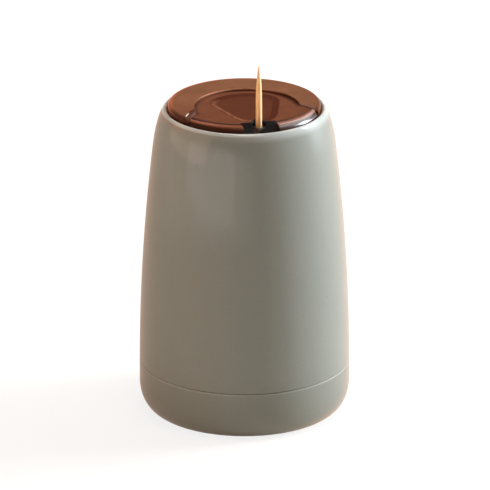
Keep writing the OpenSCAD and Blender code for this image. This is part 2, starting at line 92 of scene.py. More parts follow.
# Faces within this many degrees of each other are one flat face
FLAT_A = 0.5

# Casing
SEAM_Z = SHELL_LOW.z
CASE_TOP = SHELL_HIGH.z
BELLY_R = 33.46 * MM
BELLY_Z = 12 * MM
SIDE_TAPER = 6.16 * MM
SIDE_ARC_R = ((CASE_TOP - BELLY_Z) ** 2 + SIDE_TAPER ** 2) / (2 * SIDE_TAPER)
SHOULDER_H = 12 * MM
SHOULDER_IN = 2.2 * MM
LIP_ROUND = 0.68 * MM
LIP_START_A = 100
NECK_H = 1.6 * MM
SHELL_T = 1.8 * MM
FOOT_ROUND_H = 8.6 * MM
FOOT_ROUND_W = 5.3 * MM
SEAM_CHAMFER = 0.15 * MM
SEAM_ROUND = 0.38 * MM
SIDE_STEPS = 26
SHOULDER_STEPS = 18
INNER_STEPS = 12
FOOT_STEPS = 16
BASE_SIDE_STEPS = 5
SEAM_STEPS = 6
ROUND_STEPS = 8
BOWL_STEPS = 10

# Base
BASE_T = 2 * MM
FLOOR_T = 2.5 * MM
FLAT_R = 22 * MM
FOOT_RING_W = 3 * MM
SHELF_T = 3 * MM
SPIGOT_T = 1.8 * MM
SPIGOT_GAP = 0.25 * MM
SPIGOT_CHAMFER = 0.4 * MM
POSTS = 3
POST_R = 3.1 * MM
POST_H = 8 * MM
POST_GAP = 0.8 * MM
POST_BORE_R = 1.15 * MM
POST_BORE_FLOOR = 0.5 * MM
POST_FOOT_W = 0.4 * MM
POST_FOOT_H = 0.6 * MM
SLEEVE_T = 1.5 * MM
PIN_BOSS_R = 2.6 * MM
PIN_BOSS_H = 6.6 * MM
PIN_BOSS_CHAMFER = 0.3 * MM
PIN_R = 0.8 * MM

# Spring
WIRE_R = 0.45 * MM
WIRE_ROUNDNESS = 3
SPRING_TURNS = 9
SPRING_STEPS = 48
END_PITCH = 1.6 * MM

# Lid
LID_R = RING_HIGH.x
RING_TOP = RING_HIGH.z
RING_ROUND = 1 * MM
RING_EDGE = 0.12 * MM
PLATE_T = 1.4 * MM
SKIRT_T = 1.2 * MM
DISH_R = LID_R - 7.37 * MM
DISH_Y = -3.5 * MM
DISH_DEPTH = 0.8 * MM
MOUTH_R = LID_R - 1.97 * MM
MOUTH_Y = 4.51 * MM - LID_R
RAMP_W = 1.9 * MM
COVER_GAP = 0.15 * MM
COVER_EDGE = 0.1 * MM
COVER_Z = COVER_LOW.z
CREST_Z = COVER_HIGH.z
DISH_Z = RING_TOP - DISH_DEPTH
PLATE_Z = COVER_Z - PLATE_T

# Front band of the cover: it falls to the rim, and its inner wall leans back a little
BAND_FALL_W = 2.4 * MM
BAND_FALL_H = 2 * MM
BAND_FALL_STEPS = 10
BAND_R = 23.5 * MM
BAND_Y = DISH_Y - DISH_R + BAND_R
BAND_FOOT_IN = 0.3 * MM
BAND_TOP_OUT = 0.2 * MM

# Window in the cover, over the chamber
WINDOW_H = 0.4 * MM
WINDOW_SLOPE_W = 2.2 * MM
WINDOW_R = 13.3 * MM
WINDOW_SIDE_D = 10.3 * MM
WINDOW_X = 0.65 * MM
WINDOW_CORNER = 2 * MM
CHANNEL_R = 1.2 * MM

# Nozzle
PICK_Y = 5.17 * MM - LID_R
MOUTH_HOLE_R = 2.2 * MM
COLLAR_R = 2.65 * MM
COLLAR_GAP = 0.25 * MM
NOZZLE_HALF_W = 5.6 * MM
NOZZLE_BACK_Y = PICK_Y + 1.3 * MM
NOZZLE_FRONT_Y = PICK_Y - 3.6 * MM
NOZZLE_MID_Z = CASE_TOP + 0.85 * MM
NOZZLE_TILT = math.radians(21)
NOZZLE_SPARE = 1 * MM
NOZZLE_EDGE = 0.25 * MM
FLANGE_W = 1 * MM
FLANGE_T = 0.6 * MM
SEAT_GAP = 0.05 * MM

# Barrel and the fan-shaped chamber in it
BARREL_Y = -4.2 * MM
CHANNEL_WALL = 1 * MM
BARREL_R = BARREL_Y - PICK_Y + CHANNEL_R + CHANNEL_WALL
STOP_W = 1 * MM
STOP_GAP = 0.25 * MM
SLEEVE_R = BARREL_R + STOP_W + STOP_GAP + SLEEVE_T
FAN_R = BARREL_R - 5.5 * MM
FAN_Y = -2.6 * MM
FAN_SIDE_D = BARREL_R - 6.3 * MM
FAN_SIDE_A = math.radians(17)
FAN_FUNNEL_A = math.radians(55)
FAN_FUNNEL_D = -PICK_Y * math.sin(FAN_FUNNEL_A) + CHANNEL_R
FAN_BACK_STEPS = 20
FAN_CORNER_STEPS = 8
FAN_END_STEPS = 6

# Toothpick
PICK_R = 0.975 * MM
PICK_TIP_R = 0.14 * MM
PICK_POINT_R = 0.05 * MM
PICK_POINT_H = 0.06 * MM
PICK_TAPER = 12 * MM
PICK_SWELL = 0.9
PICK_TAPER_STEPS = 14
PICK_SIDE_STEPS = 16
TIP_WEAR = 0.3 * MM

# Room round the object: its soft light, and the dark above the white sweep that gloss sees
ROOM_COLOUR = (1, 0.95, 0.96)
ROOM_LEVEL = 0.07
CEILING_LEVEL = 0.08
SWEEP_TOP_SINE = 0.1
SWEEP_BLEND = 0.05
FLOOR_SIZE = 12
FLOOR_COLOUR = (0.88, 0.8, 0.7)
FLOOR_GLOW = 0.82

# Lamps: azimuth from the front towards +X and elevation in degrees, distance and size in
# metres, power in watts, colour
LAMP_AIM = Vector((0, 0, 50 * MM))
LAMPS = {
    "right_panel": (92, 15, 1.1, (0.35, 0.9), 38, (0.82, 0.9, 1.02)),
    "right_high": (128, 40, 1.1, (0.9, 0.35), 4.5, (0.94, 1.0, 1.0)),
    "right_top": (100, 58, 1.1, (0.5, 0.4), 3, (0.94, 1.0, 1.0)),
    "front_window": (-56, 4, 0.42, (0.5, 0.2), 0.36, (1.0, 0.93, 1.0)),
    "warm_left": (-94, 16, 1.2, (1.5, 1.4), 11, (1.0, 0.65, 0.42)),
    "top_soft": (10, 80, 1.2, (0.5, 0.5), 5, (1.0, 0.89, 0.86)),
    "back_soft": (178, 42, 1.3, (1.0, 0.4), 4, (1.0, 0.98, 0.95)),
}

# Camera
VIEW_AZIMUTH = math.radians(-13.8)
VIEW_ELEVATION = math.radians(20.6)
VIEW_DISTANCE = 1965 * MM
VIEW_AIM = Vector((0.2 * MM, 0, 53.8 * MM))
VIEW_LENS = 455
VIEW_SENSOR = 36
VIEW_END = 50


def side_r(z):
    """Radius of the long arc that the casing's side follows."""
    return BELLY_R - (SIDE_ARC_R - math.sqrt(SIDE_ARC_R ** 2 - (z - BELLY_Z) ** 2))


def foot_in(z):
    """How far the round along the bottom edge draws the casing in."""
    return FOOT_ROUND_W * (1 - math.sqrt(1 - max(0, 1 - z / FOOT_ROUND_H) ** 2))


def case_r(z):
    """Outer radius of the casing below its shoulder."""
    return side_r(z) - foot_in(z)


def steps(low, high, n):
    return [low + (high - low) * i / n for i in range(n + 1)]


def round_points(centre, radius, start, end, n):
    """Points along an arc, its angles in degrees."""
    angles = [math.radians(a) for a in steps(start, end, n)]
    return [(centre[0] + radius * math.cos(a), centre[1] + radius * math.sin(a)) for a in angles]


# Modelling

def edit(mode="VERT"):
    bpy.ops.object.mode_set(mode="EDIT")
    bpy.ops.mesh.select_mode(type=mode)


def leave():
    bpy.ops.object.mode_set(mode="OBJECT")


def pick(*pieces):
    """Selects these pieces and nothing else, the last one active."""
    bpy.ops.object.select_all(action="DESELECT")
    for piece in pieces:
        piece.select_set(True)
    bpy.context.view_layer.objects.active = pieces[-1]


def started(name):
    """Names the piece that was just added."""
    piece = bpy.context.object
    piece.name = piece.data.name = name
    return piece


def settle(piece):
    """Moves the piece's place into its mesh."""
    pick(piece)
    bpy.ops.object.transform_apply(location=True, rotation=True, scale=True)
    return piece


def weld(piece):
    """Merges doubled points and turns all faces outwards."""
    pick(piece)
    edit()
    bpy.ops.mesh.select_all(action="SELECT")
    bpy.ops.mesh.remove_doubles(threshold=WELD)
    bpy.ops.mesh.normals_make_consistent(inside=False)
    leave()
    return piece


def turned(name, outline, closed=True, segments=RIM_SEGMENTS, centre=(0, 0)):
    """A turned piece: a circle, extruded and scaled from one point of the outline to the next.

    A closed outline goes round a tube's wall; an open one has a flat face at each end."""
    x, y = centre
    r, z = outline[0]
    bpy.ops.object.select_all(action="DESELECT")
    bpy.ops.mesh.primitive_circle_add(vertices=segments, radius=r, location=(x, y, z),
                                      fill_type="NOTHING" if closed else "NGON")
    piece = started(name)
    edit("EDGE")
    bpy.ops.mesh.select_all(action="SELECT")
    last_r, last_z = r, z
    for r, z in outline[1:] + (outline[:1] if closed else []):
        rise = {"value": (0, 0, z - last_z)}
        if closed:
            bpy.ops.mesh.extrude_edges_move(TRANSFORM_OT_translate=rise)
        else:
            bpy.ops.mesh.extrude_region_move(TRANSFORM_OT_translate=rise)
        bpy.ops.transform.resize(value=(r / last_r, r / last_r, 1), center_override=(x, y, z))
        last_r, last_z = r, z
    leave()
    settle(piece)
    return weld(piece)


def slab(name, outline, low, high, top_outline=None):
    """A plate of the outline's plan, which may change to another outline at its top."""
    bpy.ops.object.select_all(action="DESELECT")
    bpy.ops.mesh.primitive_circle_add(vertices=len(outline), fill_type="NGON")
    piece = started(name)
    for vertex, (x, y) in zip(piece.data.vertices, outline):
        vertex.co = (x, y, low)
    edit("FACE")
    bpy.ops.mesh.select_all(action="SELECT")
    bpy.ops.mesh.extrude_region_move(TRANSFORM_OT_translate={"value": (0, 0, high - low)})
    leave()
    if top_outline:
        middle = (low + high) / 2
        for vertex in (v for v in piece.data.vertices if v.co.z > middle):
            nearest = min(range(len(outline)), key=lambda i: math.dist(outline[i], vertex.co[:2]))
            vertex.co = (*top_outline[nearest], high)
    return weld(piece)


def cylinder(name, radius, low, high, centre=(0, 0), segments=LID_SEGMENTS, top_radius=None):
    """A round bar, or a cone where its top has another radius."""
    bpy.ops.object.select_all(action="DESELECT")
    bpy.ops.mesh.primitive_cone_add(
        vertices=segments, radius1=radius, radius2=radius if top_radius is None else top_radius,
        depth=high - low, location=(centre[0], centre[1], (low + high) / 2))
    return settle(started(name))


def block(name, low, high):
    """A box from its lowest to its highest corner."""
    middle = [(a + b) / 2 for a, b in zip(low, high)]
    bpy.ops.object.select_all(action="DESELECT")
    bpy.ops.mesh.primitive_cube_add(size=1, location=middle,
                                    scale=[b - a for a, b in zip(low, high)])
    return settle(started(name))


def finish_with(piece, kind, **settings):
    """Adds one modifier and applies it."""
    pick(piece)
    modifier = piece.modifiers.new(kind.title(), kind)
    for key, value in settings.items():
        setattr(modifier, key, value)
    bpy.ops.object.modifier_apply(modifier=modifier.name)
    return piece


def carve(piece, *tools, operation="DIFFERENCE"):
    """Cuts the tools out of the piece, or joins them to it, and deletes the tools."""
    for tool in tools:
        finish_with(piece, "BOOLEAN", object=tool, operation=operation, solver="EXACT")
        bpy.data.objects.remove(tool)
    return piece


def add_to(piece, *tools):
    return carve(piece, *tools, operation="UNION")


def soften(piece, width, angle=SHARP_A):
    """Rounds the sharp edges and smooths the shading between them."""
    weld(piece)
    pick(piece)
    edit()
    bpy.ops.mesh.select_all(action="SELECT")
    bpy.ops.mesh.dissolve_limited(angle_limit=math.radians(FLAT_A))
    leave()
    finish_with(piece, "BEVEL", width=width, segments=3, limit_method="ANGLE",
                angle_limit=math.radians(angle), use_clamp_overlap=True, miter_outer="MITER_ARC")
    smooth(piece, angle)
    return finish_with(piece, "WEIGHTED_NORMAL", keep_sharp=True)


def smooth(piece, angle):
    pick(piece)
    bpy.ops.object.shade_smooth_by_angle(angle=math.radians(angle))
    return piece


def placed(piece, body, slot, finish, *nodes):
    """Gives a finished piece its body and material, and hides the nodes that it stands for; its
    slot is not used.
    """
    settle(piece)
    piece.data.materials.clear()
    piece.data.materials.append(finish)
    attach(piece, body)
    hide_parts(*nodes)
    return piece


# Materials

class Value:
    """A node's output. Arithmetic on it adds Math nodes."""

    def __init__(self, finish, socket):
        self.finish, self.socket = finish, socket

    def math(self, operation, *others):
        return self.finish.add("ShaderNodeMath", {"operation": operation}, (self,) + others)

    def __add__(self, other): return self.math("ADD", other)
    def __mul__(self, other): return self.math("MULTIPLY", other)
    def __sub__(self, other): return self.math("SUBTRACT", other)
    def __rsub__(self, other): return self * -1 + other
    __radd__, __rmul__ = __add__, __mul__

    def below(self, limit): return self.math("LESS_THAN", limit)
    def root(self): return self.math("SQRT")
    def size(self): return self.math("ABSOLUTE")
    def larger(self, other, blend): return self.math("SMOOTH_MAX", other, blend)

    def band(self, low, high):
        """0 below low, 1 above high, and a smooth rise between them; low may be the higher one."""
        return self.finish.add("ShaderNodeMapRange", {"interpolation_type": "SMOOTHSTEP"},
                               {"Value": self, "From Min": low, "From Max": high})

    def near(self, datum, offsets):
        """A band whose two limits lie at these mm from a datum.

        With four limits it is a strip: 0 at the outer two and 1 between the inner two."""
        limits = [datum + offset * MM for offset in offsets]
        rise = self.band(*limits[:2])
        return rise * self.band(limits[3], limits[2]) if len(limits) == 4 else rise


class Finish:
    """One material: a Principled shader and the nodes that feed it."""

    def __init__(self, name, color, roughness, **fixed):
        self.material = bpy.data.materials.new(name)
        self.material.use_nodes = True
        self.tree = self.material.node_tree
        self.shader = self.tree.nodes["Principled BSDF"]
        self.shader.inputs["Base Color"].default_value = (*color, 1)
        self.shader.inputs["Roughness"].default_value = roughness
        for key, value in fixed.items():
            self.shader.inputs[key.replace("_", " ")].default_value = value
        self.material.diffuse_color = (*color, 1)
        self.place = self.add("ShaderNodeTexCoord", output="Object")

    def add(self, kind, settings=None, inputs=(), output=0):
        """One node from its type, settings and inputs, by name or in order."""
        node = self.tree.nodes.new(kind)
        for key, value in (settings or {}).items():
            setattr(node, key, value)
        pairs = inputs.items() if isinstance(inputs, dict) else enumerate(inputs)
        for key, value in pairs:
            if isinstance(value, Value):
                self.tree.links.new(value.socket, node.inputs[key])
            else:
                node.inputs[key].default_value = value
        return Value(self, node.outputs[output])

    def xyz(self):
        node = self.tree.nodes.new("ShaderNodeSeparateXYZ")
        self.tree.links.new(self.place.socket, node.inputs[0])
        return [Value(self, out) for out in node.outputs]

    def noise(self, size, detail=2, roughness=0.5, stretch=(1, 1, 1)):
        """Noise of about 0 to 1 with features of a given size in metres."""
        place = self.add("ShaderNodeMapping", {}, {"Vector": self.place, "Scale": stretch})
        return self.add("ShaderNodeTexNoise", {},
                        {"Vector": place, "Scale": 1 / size, "Detail": detail,
                         "Roughness": roughness})

    def mix(self, factor, a, b):
        """Colour a where the factor is 0 and b where it is 1."""
        colours = [c if isinstance(c, Value) else (*c, 1) for c in (a, b)]
        return self.add("ShaderNodeMix", {"data_type": "RGBA"},
                        {0: factor, 6: colours[0], 7: colours[1]}, output=2)

    def paint(self, base, mask, paint):
        """Lays a paint, which is a share and a colour, over the base where the mask is 1."""
        share, colour = paint
        return self.mix(mask * share, base, colour)

    def clouded(self, mask, tint, spread):
        """The tint, darker by this share where the mask is 0 and lighter where it is 1."""
        return self.mix(mask, tuple(c * (1 - spread) for c in tint),
                        tuple(min(1, c * (1 + spread)) for c in tint))

    def feed(self, **links):
        for key, value in links.items():
            self.tree.links.new(value.socket, self.shader.inputs[key.replace("_", " ")])
        return self

    def bump(self, height, distance, strength=1.0):
        normal = self.add("ShaderNodeBump", {}, {"Strength": strength, "Distance": distance,
                                                 "Height": height})
        return self.feed(Normal=normal)


def linear(r, g, b):
    """A colour from its 0-255 display values."""
    return tuple(c / 255 / 12.92 if c / 255 <= 0.04045 else ((c / 255 + 0.055) / 1.055) ** 2.4
                 for c in (r, g, b))


def reach(x, y, centre_y):
    """Distance from an upright line at x 0."""
    along = y - centre_y
    return (x * x + along * along).root()


def across_view(x, y):
    """Distance from the middle to the camera's right."""
    return x * math.cos(VIEW_AZIMUTH) + y * math.sin(VIEW_AZIMUTH)


def frontness(x, y):
    """Share of the lid's radius that a point lies towards the camera."""
    return (x * math.sin(VIEW_AZIMUTH) - y * math.cos(VIEW_AZIMUTH)) * (1 / LID_R)


# Casing lacquer. Patterns:
SAGE_CLOUD = 14 * MM
SAGE_SHEEN = 6 * MM
SAGE_GRAIN = 0.5 * MM
SPECK_SPACING = 11 * MM
SPECK_SHARE = 0.016
SKIN_SIZES = (0.9 * MM, 0.25 * MM)
SKIN_SHARES = (0.6, 0.4)
SKIN_RELIEF = 0.004 * MM
SAGE_ROUGHNESS = (0.315, 0.05)

# Heights of the painted highlights and shades, in mm from the seam, the lip or the table
SEAM_HIGHLIGHT = (-0.6, -0.25, -0.1, 0)
SEAM_SHADOW = (-0.05, 0, 0.15, 0.35)
LIP_GLOSS = (-1, -0.5)
SHOULDER_LIGHT = (-3, -0.3)
POLISH_HEIGHT = (58, 74)
FOOT_SHADE = (24, 6)

# Their places across the view, in mm from the middle
POLISH_PLACE = (-28, -21, -2, 6)
LIGHT_PLACE = (-16, 10)
WARM_LIGHT_PLACE = (-12, -26)
LIP_HIGHLIGHT_PLACE = (12, -6)

# What they change: coat shares, and paints as a share and a colour
POLISH_COAT = 0.6
LIP_COAT = 0.7
LIGHT_SHARE = 0.5
LIP_HIGHLIGHT_SHARE = 0.75
LIT_SAGE = linear(182, 185, 178)
GRAIN_PAINT = 0.6, linear(110, 112, 103)
SPECK_PAINT = 0.6, linear(70, 66, 58)
SEAM_HIGHLIGHT_PAINT = 0.25, linear(205, 206, 198)
SEAM_SHADOW_PAINT = 0.6, linear(52, 46, 38)
WARM_LIGHT_PAINT = 0.18, linear(190, 110, 60)
FOOT_SHADE_PAINT = 0.22, linear(92, 86, 72)


def sage_finish():
    """Satin lacquered plastic: faint cloudiness, a fine orange-peel skin and a few dark specks.

    Under the seam the base's edge has a painted highlight below a painted shadow line, the lip
    is glossy with a painted highlight, painted light lies on the upper shoulder, warm at the left,
    painted shade darkens the foot, and the casing is polished at the upper left."""
    finish = Finish("sage_satin", linear(124, 126, 118), 0.36, Coat_Weight=0.3,
                    Coat_Roughness=0.07, Coat_IOR=1.45, Specular_IOR_Level=0.05,
                    Sheen_Weight=0.45, Sheen_Roughness=0.3, Sheen_Tint=(1, 0.42, 0.18, 1))
    x, y, z = finish.xyz()
    across = across_view(x, y)
    tone = finish.mix(finish.noise(SAGE_CLOUD, 3), linear(122, 125, 117), linear(127, 128, 119))
    tone = finish.paint(tone, finish.noise(SAGE_GRAIN), GRAIN_PAINT)
    specks = finish.add("ShaderNodeTexVoronoi", {"feature": "F1"},
                        {"Vector": finish.place, "Scale": 1 / SPECK_SPACING, "Randomness": 1.0})
    tone = finish.paint(tone, specks.below(SPECK_SHARE), SPECK_PAINT)
    # Painted highlight along the base's top edge, and a painted shadow line just above the seam
    tone = finish.paint(tone, z.near(SEAM_Z, SEAM_HIGHLIGHT), SEAM_HIGHLIGHT_PAINT)
    tone = finish.paint(tone, z.near(SEAM_Z, SEAM_SHADOW), SEAM_SHADOW_PAINT)
    lip = z.near(CASE_TOP, LIP_GLOSS)
    upper = z.near(CASE_TOP, SHOULDER_LIGHT)
    # Painted warm light on the upper shoulder at the left
    tone = finish.paint(tone, upper * across.near(0, WARM_LIGHT_PLACE), WARM_LIGHT_PAINT)
    # Painted light on the upper shoulder, and a painted highlight along the lip
    light = upper * across.near(0, LIGHT_PLACE)
    painted_light = light * LIGHT_SHARE + lip * across.near(0, LIP_HIGHLIGHT_PLACE) * LIP_HIGHLIGHT_SHARE
    tone = finish.mix(painted_light, tone, LIT_SAGE)
    # Painted shade, darker towards the bottom
    tone = finish.paint(tone, z.near(0, FOOT_SHADE), FOOT_SHADE_PAINT)
    polish = across.near(0, POLISH_PLACE) * z.near(0, POLISH_HEIGHT) * POLISH_COAT
    least, spread = SAGE_ROUGHNESS
    finish.feed(Base_Color=tone, Roughness=finish.noise(SAGE_SHEEN, 3) * spread + least,
                Coat_Weight=lip * LIP_COAT + polish)
    coarse, fine = [finish.noise(size, 1) * share for size, share in zip(SKIN_SIZES, SKIN_SHARES)]
    return finish.bump(coarse + fine, SKIN_RELIEF).material


# Lid plastic. Patterns:
BROWN_CLOUD = 7 * MM
BROWN_CLOUD_RISE = (0.25, 0.75)
BROWN_SPREAD = 0.1
BROWN_SHEEN = 3 * MM
BROWN_ROUGHNESS = (0.1, 0.1)
BROWN_MATT = 0.35
BROWN_SKIN = 1.6 * MM


def brown_finish(name, tint, paint):
    """Polished smoked-brown plastic; paint adds the shades and reflections that show in it."""
    finish = Finish(name, tint, 0.14, Specular_IOR_Level=0.02, Coat_Weight=0.0,
                    Coat_Roughness=0.26)
    cloud = finish.noise(BROWN_CLOUD, 4, 0.6).band(*BROWN_CLOUD_RISE)
    base = finish.clouded(cloud, tint, BROWN_SPREAD)
    colour, shine, matt = paint(finish, base, *finish.xyz())
    least, spread = BROWN_ROUGHNESS
    finish.feed(Base_Color=colour, Coat_Weight=shine,
                Roughness=finish.noise(BROWN_SHEEN, 3) * spread + matt * BROWN_MATT + least)
    return finish.bump(finish.noise(BROWN_SKIN), SKIN_RELIEF).material


# Edge of the dish, in mm from the dish's radius, its floor or the lid's middle
DISH_LINE = (-1.5, -1, 0.1, 0.3)
DISH_LINE_HEIGHT = (0.7, 0.5)
DISH_WALL = (0.1, 0)
DISH_WALL_HEIGHT = (0.3, 0.45)
DISH_BACK = (4, 12)
DISH_BACK_FADE = 0.7
DISH_WALL_LIT_COLOUR = linear(210, 146, 110)
DISH_SHADE_PAINT = 0.7, linear(70, 34, 21)


def paint_dish_edge(finish, base, x, y, z):
    """A painted shade line round the dish, faint at the back, where the wall over it is painted
    light.

    Returns the colour, and where the line is."""
    from_middle = reach(x, y, DISH_Y)
    back = y.near(0, DISH_BACK)
    wall = z.near(DISH_Z, DISH_WALL_HEIGHT) * from_middle.near(DISH_R, DISH_WALL)
    # Painted light on the upper part of the dish's wall at the back
    base = finish.mix(wall * back, base, DISH_WALL_LIT_COLOUR)
    # Painted shade line round the dish's edge, fainter at the back
    line = from_middle.near(DISH_R, DISH_LINE)
    seen = line * z.near(DISH_Z, DISH_LINE_HEIGHT) * (1 - back * DISH_BACK_FADE)
    return finish.paint(base, seen, DISH_SHADE_PAINT), line


# Ring: painted shades and glow along its rim, in mm from the lid's radius or middle, or as a share
# of frontness
FRONT_SHADE = (-0.1, 0.45)
RIM_GLOW = (-1.8, -0.6)
RIM_GLOW_FRONT = (0.35, 0)
RIM_GLOW_X = (20, 8)
RIGHT_RIM = (-1.4, -0.5)
RIGHT_RIM_X = (12, 20)
FRONT_RIM = (-1.6, -0.6)
FRONT_RIM_FRONT = (0.2, 0.5)
FRONT_SHADE_PAINT = 0.35, linear(92, 46, 28)
RIM_GLOW_PAINT = 0.6, linear(190, 98, 60)
RIGHT_RIM_SHADE_PAINT = 0.6, linear(84, 44, 30)
FRONT_RIM_SHADE_PAINT = 0.7, linear(58, 30, 20)

# Its ends, with painted shade and a painted glint: the left one slopes, in mm from the slope's top
# or foot, or from the lid's middle
LEFT_END_X = (2, -4)
RAMP_LINE = (0.3, 0)
END_FOOT = (0.7, 0.3)
END_SHADE_PAINT = 0.75, linear(58, 30, 20)
GLINT_LINE = (-0.55, -0.4, -0.2, -0.05)
GLINT_RIM = (-1.2, -1.8)
GLINT_PLACE = (-17.2, -17.7)
GLINT_PAINT = 0.8, linear(240, 224, 200)


def paint_ring(finish, base, x, y, z):
    """A painted orange glow lies along the rim at the back and sides; the front and the ring's
    ends carry painted shade.

    A narrow painted glint lies on the top of the left end's slope."""
    rim = reach(x, y, 0)
    front = frontness(x, y)
    # Painted shade over the ring's front
    base = finish.paint(base, front.band(*FRONT_SHADE), FRONT_SHADE_PAINT)
    # Painted orange glow along the rim at the back and sides
    glow = rim.near(LID_R, RIM_GLOW) * front.band(*RIM_GLOW_FRONT)
    base = finish.paint(base, glow * x.near(0, RIM_GLOW_X), RIM_GLOW_PAINT)
    # Painted shade along the right of the rim
    right_rim = rim.near(LID_R, RIGHT_RIM) * x.near(0, RIGHT_RIM_X)
    base = finish.paint(base, right_rim, RIGHT_RIM_SHADE_PAINT)
    # Painted shade along the front of the rim
    front_rim = rim.near(LID_R, FRONT_RIM) * front.band(*FRONT_RIM_FRONT)
    base = finish.paint(base, front_rim, FRONT_RIM_SHADE_PAINT)
    # Painted shade on the left end's slope and along the foot of the right end
    left = x.near(0, LEFT_END_X)
    mouth = reach(x, y, MOUTH_Y)
    ramp = mouth.near(MOUTH_R + RAMP_W, RAMP_LINE) * left
    foot = mouth.near(MOUTH_R, END_FOOT) * (1 - left)
    base = finish.paint(base, ramp + foot, END_SHADE_PAINT)
    # Painted glint: a highlight on the top of the left end's slope
    glint = mouth.near(MOUTH_R + RAMP_W, GLINT_LINE) * left * rim.near(LID_R, GLINT_RIM) \
        * across_view(x, y).near(0, GLINT_PLACE)
    base = finish.paint(base, glint, GLINT_PAINT)
    base, edge_line = paint_dish_edge(finish, base, x, y, z)
    return base, glint, edge_line


# Window in the cover, in mm inwards from its outline or from the foot of its slope
WINDOW_EDGE = (0.15, -0.15)
WINDOW_OUTLINE = (-1.1, -0.5)
SLOPE_FOOT_FADE = (-0.2, 0.4)
SLOPE_FOOT_LINE = (0.5, 0)
SLOPE_SHADE = (-3, 3)
SLOPE_SHADE_SLANT = 0.7
SLOPE_SHADE_SHIFT = 1.5 * MM
SLOPE_SHADE_BLEND = 4 * MM
HIGHLIGHT_STREAK_SIZE = 1.1 * MM
HIGHLIGHT_STREAK_STRETCH = (1, 0.35, 1)
HIGHLIGHT_STREAK_RISE = (0.35, 0.7)
HIGHLIGHT_STREAK_SHARES = (0.2, 0.4)
HIGHLIGHT_STREAK_COLOUR = linear(156, 100, 72)
WINDOW_SHADE_PAINT = 0.8, linear(76, 39, 24)
SLOPE_SHADE_PAINT = 0.7, linear(66, 32, 20)
OUTLINE_SHADE_PAINT = 0.65, linear(70, 34, 22)
SLOPE_FOOT_SHADE_PAINT = 0.5, linear(70, 34, 20)

# Front band of the cover, in mm from its arc, its crest, the lid's radius or the lid's middle
GROOVE = (-2.4, -1.4, 0, 0.3)
GROOVE_X = (18, 4)
GROOVE_SHARES = (0.15, 0.75)
GROOVE_SHADE_COLOUR = linear(40, 20, 14)
CREST = (0.1, 0.4, 1.2, 2)
CREST_HIGHLIGHT_PAINT = 0.5, linear(150, 86, 62)
FALL_HEIGHT = (-0.1, -0.6)
FALL_RIM = (-3, -2)
FALL_SHADE_PAINT = 0.85, linear(44, 26, 20)
SHINE_X = (2, 7)
SHINE_BAND = (-0.6, 0.4)
BESIDE_RING_Y = (-7.5, -5.5)


def paint_cover(finish, base, x, y, z):
    """Painted shade darkens the window over the chamber, and painted highlight streaks lie on the
    near side of its slope.

    The front band has painted shade in the groove behind it and a painted highlight on its
    crest, painted shade where it falls away to the rim, and shines on the right."""
    aside = (x - WINDOW_X).size()
    side = aside * math.cos(FAN_SIDE_A) - y * math.sin(FAN_SIDE_A) - WINDOW_SIDE_D
    back = reach(x - WINDOW_X, y, FAN_Y) - WINDOW_R
    depth = side.larger(back, 2 * WINDOW_CORNER)
    inside = depth.near(0, WINDOW_EDGE)
    slope = inside * depth.near(-WINDOW_SLOPE_W, SLOPE_FOOT_FADE)
    far_side = (x * SLOPE_SHADE_SLANT + y * SLOPE_SHADE_SLANT + SLOPE_SHADE_SHIFT) \
        .larger(x, SLOPE_SHADE_BLEND).near(0, SLOPE_SHADE)
    highlight_streaks = finish.noise(HIGHLIGHT_STREAK_SIZE, 3, 0.6, stretch=HIGHLIGHT_STREAK_STRETCH).band(*HIGHLIGHT_STREAK_RISE)
    # Painted shade over the chamber under the window, and on the slope's far side
    base = finish.paint(base, inside, WINDOW_SHADE_PAINT)
    base = finish.paint(base, slope * far_side, SLOPE_SHADE_PAINT)
    # Painted highlight streaks on the near side of the window's slope
    least, added = HIGHLIGHT_STREAK_SHARES
    base = finish.mix(slope * (1 - far_side) * (highlight_streaks * added + least), base, HIGHLIGHT_STREAK_COLOUR)
    # Painted shade along the window's outline and along the foot of its slope
    base = finish.paint(base, inside * depth.near(0, WINDOW_OUTLINE), OUTLINE_SHADE_PAINT)
    base = finish.paint(base, slope * depth.near(-WINDOW_SLOPE_W, SLOPE_FOOT_LINE),
                        SLOPE_FOOT_SHADE_PAINT)
    bow = reach(x, y, BAND_Y)
    # Painted shade in the groove behind the front band
    least, added = GROOVE_SHARES
    groove_shade = bow.near(BAND_R, GROOVE) * (x.near(0, GROOVE_X) * added + least)
    base = finish.mix(groove_shade, base, GROOVE_SHADE_COLOUR)
    # Painted highlight along the band's crest
    base = finish.paint(base, bow.near(BAND_R, CREST), CREST_HIGHLIGHT_PAINT)
    # Painted shade where the band falls away to the rim
    fall = z.near(CREST_Z, FALL_HEIGHT) * reach(x, y, 0).near(LID_R, FALL_RIM)
    base = finish.paint(base, fall, FALL_SHADE_PAINT)
    shine = x.near(0, SHINE_X) * bow.near(BAND_R, SHINE_BAND)
    edge, edge_line = paint_dish_edge(finish, base, x, y, z)
    beside_ring = y.near(0, BESIDE_RING_Y)
    return finish.mix(beside_ring, base, edge), shine, edge_line * beside_ring + groove_shade


# Moulded finishes: their clouds and sheen are this many times larger than their grain
CLOUD_PER_GRAIN = 12
SHEEN_PER_GRAIN = 5
PLAIN_SPREAD = 0.1


def plain_finish(name, color, roughness, spread, grain_size, relief, **fixed):
    """A moulded finish: a base tone, a little clouding and a fine skin."""
    finish = Finish(name, color, roughness, **fixed)
    tone = finish.clouded(finish.noise(grain_size * CLOUD_PER_GRAIN, 3), color, spread)
    sheen = finish.noise(grain_size * SHEEN_PER_GRAIN)
    finish.feed(Base_Color=tone,
                Roughness=sheen * PLAIN_SPREAD + (roughness - PLAIN_SPREAD / 2))
    return finish.bump(finish.noise(grain_size), relief).material


